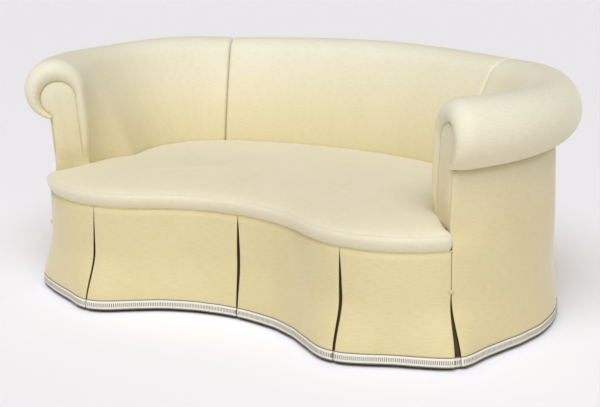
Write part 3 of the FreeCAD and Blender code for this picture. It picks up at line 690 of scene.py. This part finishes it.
def facing(name, side):
    """The keyhole pad of one arm."""
    edge = keyhole_edge()
    count = len(edge)

    def drawn_in(i, share):
        return towards(spine(*edge[i % count]), edge[i % count], share)

    def place(i, j):
        share, depth = PAD_RINGS[j]
        u, z = drawn_in(i, share)
        if depth < FLAT_DEPTH:
            depth += (FLAT_DEPTH - depth) * ease((FACING_FLAT - z) / FLAT_OVER)
        return at(side * (ARM + depth), u, z)

    def cloth(i, j):
        u, z = drawn_in(i, PAD_RINGS[j][0])
        return (u * MM, z * MM)

    bm = cloth_grid(count + 1, len(PAD_RINGS), place, cloth)
    bmesh.ops.remove_doubles(bm, verts=bm.verts, dist=0.02 * MM)
    # the rings leave a long narrow hole along the spine, which is filled
    last_ring = [place(i, len(PAD_RINGS) - 1) for i in range(count)]
    middle = [e for e in bm.edges if e.is_boundary and all(v.co in last_ring for v in e.verts)]
    bmesh.ops.triangle_fill(bm, use_beauty=True, edges=middle)
    behind = at(side * (ARM + 40.0), 60.0, 560.0)
    piece = finish_piece(name, bm, lambda f: behind, silk)
    soften(piece)
    return piece


PIPING = 3.0
for word, side in (("right", 1.0), ("left", -1.0)):
    pad = facing("facing_" + word, side)
    edge = [at(side * (ARM + 5.0 + 4.0 * ease((FACING_FLAT - z) / FLAT_OVER)), u, z)
            for u, z in keyhole_edge(PIPING - 1.0)]
    cord = cord_along("facing_cord_" + word, edge, PIPING, cord_silk)
    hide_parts("arm_facing_" + word)
    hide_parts("facing_piping_" + word)
    for piece, slot_name in ((pad, "cream_cloth"), (cord, "cream_trim")):
        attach(piece, "root")
print("length of a facing's piping, mm:",
      round(sum((b - a).length for a, b in zip(edge, edge[1:])) / MM))

# %% [markdown]
# ## The seat
# The seat is tight, with no loose cushion. Its border swells out over the welt, a faint ridge
# marks the edge roll under the cloth, and the top rises in a low crown. It could be a block with
# a bevel and a push from a lattice, but the border has its own section, so it is one closed form
# made from level rings that shrink towards the middle.

# %% Rings of the seat
# Height, inset of the front edge, and gap to the arms and back.
EDGE_ROWS = ((353.5, 3.0, 9.0), (355.0, 0.6, 0.0), (359.0, -2.8, 0.0), (365.0, -6.6, 0.0),
             (373.0, -10.0, 0.0), (382.0, -12.2, 0.0), (390.0, -12.4, 0.0), (396.0, -10.8, 0.0),
             (400.5, -7.8, 0.0), (404.5, -3.4, 0.0), (409.5, 4.0, 0.0), (415.5, 16.0, 0.0),
             (422.5, 40.0, 0.0), (428.0, 66.0, 0.0), (431.5, 88.0, 3.0), (435.5, 118.0, 14.0),
             (439.5, 155.0, 50.0), (442.0, 200.0, 105.0))
# Share of the last ring, and height.
CROWN = ((0.82, 443.5), (0.62, 445.0), (0.42, 446.0), (0.22, 446.6), (0.06, 446.8), (0.0, 446.8))
SEAT_GAP = 0.8
DRAW, DRAW_FROM, DRAW_OVER = 90.0, 404.0, 40.0      # the ears draw in as the rings rise
FRONT_STEP, REAR_STEP, EAR_PARTS = 17.0, 26.0, 7
SEAT_MIDDLE = Vector((0.0, -0.09, 0.0))


def seat_loop(front, rear, draw):
    """Station and inset of points all round the seat, front first."""
    ear, wall = ARM - 2.0 - draw, ARM + 1.0 + draw
    depth = thickness(wall) + rear
    side = [towards((ear, front), (wall, depth), i / EAR_PARTS) for i in range(1, EAR_PARTS)]
    return ([(s, front) for s in spread(-ear, ear, FRONT_STEP)] + side
            + [(s, thickness(s) + rear) for s in spread(wall, 2.0 * HALF - wall, REAR_STEP)]
            + [(2.0 * HALF - s, inset) for s, inset in side[::-1]])


def resample(loop, count):
    """The same run of station and inset pairs with this many points."""
    if len(loop) == count:
        return loop
    result = []
    for k in range(count):
        spot = k * (len(loop) - 1) / (count - 1)
        i = min(int(spot), len(loop) - 2)
        result.append(towards(loop[i], loop[i + 1], spot - i))
    return result


def seat_rings():
    """The points of every level ring, from the welt up to the crown."""
    count = len(seat_loop(0.0, 1.0, 0.0))
    rings = []
    for z, front, gap in EDGE_ROWS:
        draw = DRAW * ease((z - DRAW_FROM) / DRAW_OVER)
        loop = resample(seat_loop(front, SEAT_GAP + gap, draw), count)
        rings.append([at(s, inset, z) for s, inset in loop])
    rim = [Vector((point.x, point.y, 0.0)) for point in rings[-1]]
    for share, z in CROWN:
        flat = [SEAT_MIDDLE + (point - SEAT_MIDDLE) * share for point in rim]
        rings.append([Vector((point.x, point.y, z * MM)) for point in flat])
    return rings


rings = seat_rings()
print("rings of the seat:", len(rings), "points in each:", len(rings[0]))

# %% Build the seat and its welt
STILL_ROWS, BORDER_ROWS = 4, 9      # rows kept even, and rows whose weave runs round the border
WELT_RADIUS = 2.6


def seat(loops):
    """The seat as one closed form."""
    count = len(loops[0])
    girths = [0.0]
    for a, b in zip(loops[0], loops[0][1:] + loops[0][:1]):
        girths.append(girths[-1] + (b - a).length)

    def place(i, j):
        point = loops[j][i % count].copy()
        if j >= STILL_ROWS:
            point.z += 0.9 * MM * noise.noise(Vector((point.x * 7.0, point.y * 9.0, 0.4)))
        return point

    def cloth(i, j):
        point = loops[j][i % count]
        return (girths[i], point.z) if j < BORDER_ROWS else (point.x, point.y)

    bm = cloth_grid(count + 1, len(loops), place, cloth)
    bmesh.ops.remove_doubles(bm, verts=bm.verts, dist=0.02 * MM)
    bmesh.ops.holes_fill(bm, edges=[e for e in bm.edges if e.is_boundary])
    piece = finish_piece("seat", bm, lambda f: Vector((0.0, -0.1, 0.40)), seat_silk)
    soften(piece)
    return piece


seat_pad = seat(rings)
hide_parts("seat_cover", "seat_stuffing")
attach(seat_pad, "root")

welt_path = [at(s, 1.5, WELT) for s in spread(-ARM - 1.0, ARM + 1.0, 12.0)]
welt = cord_along("seat_welt_cord", welt_path, WELT_RADIUS, cord_silk)
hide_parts("seat_welt")
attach(welt, "root")
print("seat faces:", len(seat_pad.data.polygons))

# %% [markdown]
# ## Skirt and outside panels
# The skirt panels hang from the welt, the outside arms and back from under the roll. Each edge
# is folded back behind the panel, and the fold hangs a little open half-way down. The hem
# swings out, most of all at the pleats, because the cloth is lined and stiff. A simulation would
# let soft cloth fall, but this cloth is pressed and stands, so its folds are placed one by one.

# %% Folds and slits
# How far a column of the folded edge stands back from the edge, and how deep it lies.
FOLD = ((24.0, 7.6), (12.0, 7.4), (4.0, 6.6), (0.9, 5.0), (0.0, 3.2), (0.5, 1.4), (2.0, 0.4))
AFTER_FOLD = 4.0        # where the plain cloth begins
CLOTH, COLUMN_STEP = 2.2, 15.0
# Height, and how far a panel's edge stands back from the middle of its pleat there. The corner
# pleats are held shut by a button and fall open below it.
SLITS = {"middle": ((12.0, 3.4), (60.0, 3.8), (150.0, 6.0), (228.0, 6.6), (300.0, 4.0),
                    (351.0, 0.6)),
         "lobe": ((12.0, 3.8), (100.0, 4.6), (200.0, 6.4), (280.0, 4.2), (351.0, 0.6)),
         "left lobe": ((12.0, 2.2), (100.0, 3.2), (200.0, 4.4), (280.0, 2.6), (351.0, 0.5)),
         "corner": ((12.0, 10.5), (100.0, 6.6), (180.0, 3.0), (222.0, 0.8), (350.0, 0.6),
                    (365.0, 2.2), (592.0, 2.2)),
         "rear": ((12.0, 9.0), (100.0, 5.5), (180.0, 2.2), (222.0, 0.7), (592.0, 0.5))}
# Stations by which a slit leans: at its top and at its hem.
LEAN = {-PLEAT: (-9.0, -15.0), 0.0: (5.0, 9.0), PLEAT: (-2.0, 13.0)}


def between(table, height):
    """Value at a height, on straight lines between the table's heights."""
    if height <= table[0][0]:
        return table[0][1]
    for (low, a), (high, b) in zip(table, table[1:]):
        if height <= high:
            return a + (b - a) * (height - low) / (high - low)
    return table[-1][1]


def slit(pleat, height):
    """Station of the middle of a pleat at a height."""
    top, foot = LEAN.get(pleat, (0.0, 0.0))
    return pleat + foot + (top - foot) * (height - HEM) / (WELT - HEM)


def ripple(station, height):
    """Soft swing of hanging cloth, growing towards the hem, in mm."""
    down = ease((WELT - height) / (WELT - HEM))
    spot = Vector((station * 0.011, height * 0.002, 0.7))
    return 3.4 * down * noise.noise(spot) + 0.7 * noise.noise(spot * 2.7)


print("widest slit, mm:", 2.0 * max(back for table in SLITS.values() for _, back in table))

# %% Hanging cloth
def panel_columns(first, last):
    """Which part of the panel a column is in, its place there, and how deep it is folded."""
    start = [("first", back, depth) for back, depth in FOLD]
    count = round((last - first) / COLUMN_STEP)
    middle = [("run", i / count, 0.0) for i in range(count + 1)]
    return start + middle + [("last", back, depth) for back, depth in FOLD[::-1]]


def panel_point(column, ends, shapes, z, proud=0.0):
    """A point of a hanging panel between two pleats, as station and inset."""
    kind, value, depth = column
    low = slit(ends[0], z) + between(SLITS[shapes[0]], z)
    high = slit(ends[1], z) - between(SLITS[shapes[1]], z)
    edge, turn, end = (low, 1.0, ends[0]) if kind == "first" else (high, -1.0, ends[1])
    if kind == "run":
        s = low + AFTER_FOLD + (high - low - 2.0 * AFTER_FOLD) * value
    elif z > WELT + 20.0 and abs(end) == ARM:
        # above the welt the edge turns in behind the facing
        s, depth = edge + turn * (1.0 + 0.25 * depth), depth * 3.4
    else:
        s = edge + turn * value
    if kind != "run":
        s -= turn * proud
    return s, wall_inset(s, z) + depth + ripple(s, z)


def cloth_station(column, ends):
    """Place of a column on the flat cloth, in mm."""
    kind, value, _ = column
    width = ends[1] - ends[0]
    return ends[0] + {"first": -value, "last": width + value}.get(kind, value * width)


def hang(name, ends, levels, shapes, material):
    """A panel between two pleats, with its folds, hung from its top level."""
    columns = panel_columns(*ends)

    def place(i, j):
        s, inset = panel_point(columns[i], ends, shapes, levels[j])
        return at(s, inset, levels[j])

    bm = cloth_grid(len(columns), len(levels), place,
                    lambda i, j: (cloth_station(columns[i], ends) * MM, levels[j] * MM))
    piece = finish_piece(name, bm, inner_side, material)
    thicken(piece, CLOTH)
    return piece


def levels_from(top, bottom=HEM):
    """Heights of the rows, closer together below the place where the hem kicks out."""
    found = [top]
    while found[-1] - bottom > 26.0:
        found.append(found[-1] - (24.0 if found[-1] > 224.0 else 13.0))
    return found + [bottom + 6.0, bottom]


FRONT_TOP, WALL_TOP = 351.5, 592.0
front_levels, wall_levels = levels_from(FRONT_TOP), levels_from(WALL_TOP)
print("rows of a skirt panel and of an outside panel:", len(front_levels), len(wall_levels))

# %% Tape
TAPE_ROWS = [HEM + TAPE_WIDTH * k / 4.0 for k in range(5)]
TAPE = 0.9              # its thickness, and how far it stands out at a panel's edge
TAPE_OUT, TAPE_DOWN = 1.3, 0.4


def tape_on(name, ends, shapes):
    """The tape on a panel: the same columns, a little further out."""
    columns = panel_columns(*ends)[3:-3]

    def place(i, j):
        s, inset = panel_point(columns[i], ends, shapes, TAPE_ROWS[j], proud=TAPE)
        return at(s, inset - TAPE_OUT, TAPE_ROWS[j] - TAPE_DOWN)

    bm = cloth_grid(len(columns), len(TAPE_ROWS), place,
                    lambda i, j: (cloth_station(columns[i], ends) * MM,
                                  (TAPE_ROWS[j] - HEM) * MM))
    piece = finish_piece(name, bm, inner_side, tape_cloth)
    thicken(piece, TAPE)
    return piece


def join_pieces(name, pieces):
    """Several pieces with their thickness applied, as one object."""
    bm = bmesh.new()
    graph = bpy.context.evaluated_depsgraph_get()
    for piece in pieces:
        ready = piece.evaluated_get(graph)
        mesh = ready.to_mesh()
        bm.from_mesh(mesh)
        ready.to_mesh_clear()
    mesh = bpy.data.meshes.new(name)
    bm.to_mesh(mesh)
    bm.free()
    mesh.materials.append(pieces[0].data.materials[0])
    joined = bpy.data.objects.new(name, mesh)
    bpy.context.scene.collection.objects.link(joined)
    for piece in pieces:
        bpy.data.objects.remove(piece)
    return joined


print("rows across the tape:", len(TAPE_ROWS))

# %% Hang the panels
PANELS = (("skirt_inner", "_right", (0.0, PLEAT), ("middle", "lobe")),
          ("skirt_inner", "_left", (-PLEAT, 0.0), ("left lobe", "middle")),
          ("skirt_outer", "_right", (PLEAT, ARM), ("lobe", "corner")),
          ("skirt_outer", "_left", (-ARM, -PLEAT), ("corner", "left lobe")),
          ("outside_arm", "_right", (ARM, SEAM), ("corner", "rear")),
          ("outside_arm", "_left", (-SEAM, -ARM), ("rear", "corner")),
          ("outside_back", "", (SEAM, REAR_END), ("rear", "rear")))
tapes = []
for base, word, ends, shapes in PANELS:
    levels = front_levels if base.startswith("skirt") else wall_levels
    panel = hang(base + "_cloth" + word, ends, levels, shapes, silk)
    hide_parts(base + word)
    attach(panel, "root")
    tapes.append(tape_on(base + "_tape" + word, ends, shapes))
hem_tape = join_pieces("hem_tape_band", tapes)
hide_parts("hem_tape")
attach(hem_tape, "root")
print("panels:", len(PANELS), "tape faces:", len(hem_tape.data.polygons))

# %% [markdown]
# ## Behind the pleats
# A strip of the same cloth hangs behind every pleat, so that the slit never shows the frame. It
# lies in deep shade, and that shade is painted into its colour as a dark brown. It has its own
# tape, and it hangs 5 mm lower, which is the thin brown line under the hem. It could be a box
# pleat folded from one long cloth, but a separate strip is how such a skirt is often cut, and it
# is simpler to shape.

# %% Underlays
HALF_UNDERLAY, UNDERLAY_TOP, UNDERLAY_DEPTH, DROP = 114.0, 344.0, 12.2, 5.0
UNDER_TAPE_OUT = 1.1
GROUPS = {"front": (0.0, PLEAT, -PLEAT), "corner": (ARM, -ARM), "rear": (SEAM, -SEAM)}


def strip_behind(name, pleat, heights, depth, foot, material, amount):
    """A strip behind a pleat. Its map starts from 0 at the height of its foot."""
    run = spread(pleat - HALF_UNDERLAY, pleat + HALF_UNDERLAY, COLUMN_STEP)
    bm = cloth_grid(len(run), len(heights),
                    lambda i, j: at(run[i], wall_inset(run[i], heights[j]) + depth
                                    + ripple(run[i], heights[j]), heights[j]),
                    lambda i, j: (run[i] * MM, (heights[j] - foot) * MM))
    strip = finish_piece(name, bm, inner_side, material)
    thicken(strip, amount)
    return strip


under_tapes = []
under_rows = [z - DROP for z in TAPE_ROWS]
for word, stations in GROUPS.items():
    strips = []
    for s in stations:
        strips.append(strip_behind(f"strip_{word}_{s:.0f}", s,
                                   levels_from(UNDERLAY_TOP, HEM - DROP), UNDERLAY_DEPTH, 0.0,
                                   shaded_silk, CLOTH))
        under_tapes.append(strip_behind(f"under_tape_{word}_{s:.0f}", s, under_rows,
                                        UNDERLAY_DEPTH - UNDER_TAPE_OUT, HEM - DROP,
                                        tape_cloth, TAPE))
    whole = join_pieces("pleat_cloth_" + word, strips)
    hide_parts("pleat_underlay_" + word)
    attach(whole, "root")
under_tape = join_pieces("underlay_tape_band", under_tapes)
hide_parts("underlay_tape")
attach(under_tape, "root")
print("strips behind the pleats:", len(under_tapes))

# %% [markdown]
# ## Buttons
# A covered button holds each corner pleat shut. It is a low dome of the trim silk over a metal
# shell. A sphere pressed to half its height gives the dome, and the panel hides its back half.

# %% Covered buttons
BUTTON_Z, BUTTON_R, BUTTON_OUT = 228.0, 8.0, 0.5
domes = []
for s in (ARM, -ARM, SEAM, -SEAM):
    face = at(s, wall_inset(s, BUTTON_Z) - BUTTON_OUT, BUTTON_Z)
    out = (at(s, 0.0, BUTTON_Z) - at(s, 1.0, BUTTON_Z)).normalized()
    bm = bmesh.new()
    bmesh.ops.create_uvsphere(bm, u_segments=20, v_segments=10, radius=BUTTON_R * MM)
    bmesh.ops.scale(bm, vec=(1.0, 1.0, 0.5), verts=bm.verts)
    bmesh.ops.transform(bm, matrix=out.to_track_quat("Z", "Y").to_matrix().to_4x4(),
                        verts=bm.verts)
    bmesh.ops.translate(bm, vec=face, verts=bm.verts)
    domes.append(finish_piece(f"button_{s:.0f}", bm, lambda f: face, cord_silk))
print("buttons:", len(domes))
buttons = join_pieces("covered_buttons", domes)
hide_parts("pleat_buttons")
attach(buttons, "root")

# %% [markdown]
# ## Floor, light and camera
# A plain pale floor runs out to a round backdrop far away, so that every view ends in pale grey.
# A sun as wide as a soft box stands high in front, a little to the right. Two broad lamps, one on
# each side, lift the shade under the rolls, and a faint warm world keeps the folds yellow. Small
# hard lamps would be another way, but they draw sharp shadows that a studio's soft boxes don't.
# The camera stands at the photograph's place, a little above the crest and turned 31 degrees.

# %% Floor and backdrop
FLOOR_SIZE, BACKDROP_RADIUS, BACKDROP_HEIGHT = 30.0, 28.0, 10.0
floor_paint, tree = new_material("pale_floor")      # matt paint, with hardly any gloss
closing(tree, node(tree, "ShaderNodeBsdfPrincipled",
                   {"Base Color": linear("#F0F0F3"), "Roughness": 0.9,
                    "Specular IOR Level": 0.1}))
bm = bmesh.new()
bmesh.ops.create_grid(bm, x_segments=1, y_segments=1, size=FLOOR_SIZE)
floor = finish_piece("floor", bm, lambda f: Vector((0.0, 0.0, -1.0)), floor_paint)

bm = bmesh.new()
bmesh.ops.create_cone(bm, cap_ends=False, segments=96, radius1=BACKDROP_RADIUS,
                      radius2=BACKDROP_RADIUS, depth=BACKDROP_HEIGHT)
backdrop = finish_piece("backdrop", bm, lambda f: 2.0 * f.calc_center_median(), floor_paint)
print("stage:", floor.name, backdrop.name)

# %% Lamps
world = bpy.data.worlds.new("studio")
bpy.context.scene.world = world
world.use_nodes = True
world.node_tree.nodes["Background"].inputs["Color"].default_value = linear("#FFE7B4")
world.node_tree.nodes["Background"].inputs["Strength"].default_value = 0.30
LOOK_AT = Vector((0.0, 0.0, 0.45))


def lamp(name, kind, place, power, tint="#FFFFFF", **settings):
    """A soft lamp that looks at the middle of the settee."""
    data = bpy.data.lights.new(name, kind)
    data.energy, data.color = power, linear(tint)[:3]
    for setting, value in settings.items():
        setattr(data, setting, value)
    made = bpy.data.objects.new(name, data)
    made.location = place
    made.rotation_euler = (LOOK_AT - Vector(place)).to_track_quat("-Z", "Y").to_euler()
    bpy.context.scene.collection.objects.link(made)


lamp("key", "SUN", (1.2, -2.5, 4.6), 2.9, "#EBF1FF", angle=radians(50.0))
lamp("fill", "AREA", (-3.2, -2.8, 2.2), 9.0, size=2.4)
lamp("right", "AREA", (2.9, -2.8, 1.9), 14.0, "#EEF3FF", size=1.8)
print("lamps:", len(bpy.data.lights))

# %% Camera
camera_data = bpy.data.cameras.new("camera")
camera_data.lens, camera_data.sensor_width = 78.55, 36.0
camera = bpy.data.objects.new("camera", camera_data)
camera.location = (2.3033, -3.8209, 1.4755)
camera.rotation_euler = (radians(75.16), radians(0.34), radians(31.19))
bpy.context.scene.collection.objects.link(camera)
bpy.context.scene.camera = camera
bpy.context.scene.view_settings.view_transform = "Standard"
print("camera from the middle of the settee, m:", round((camera.location - LOOK_AT).length, 2))
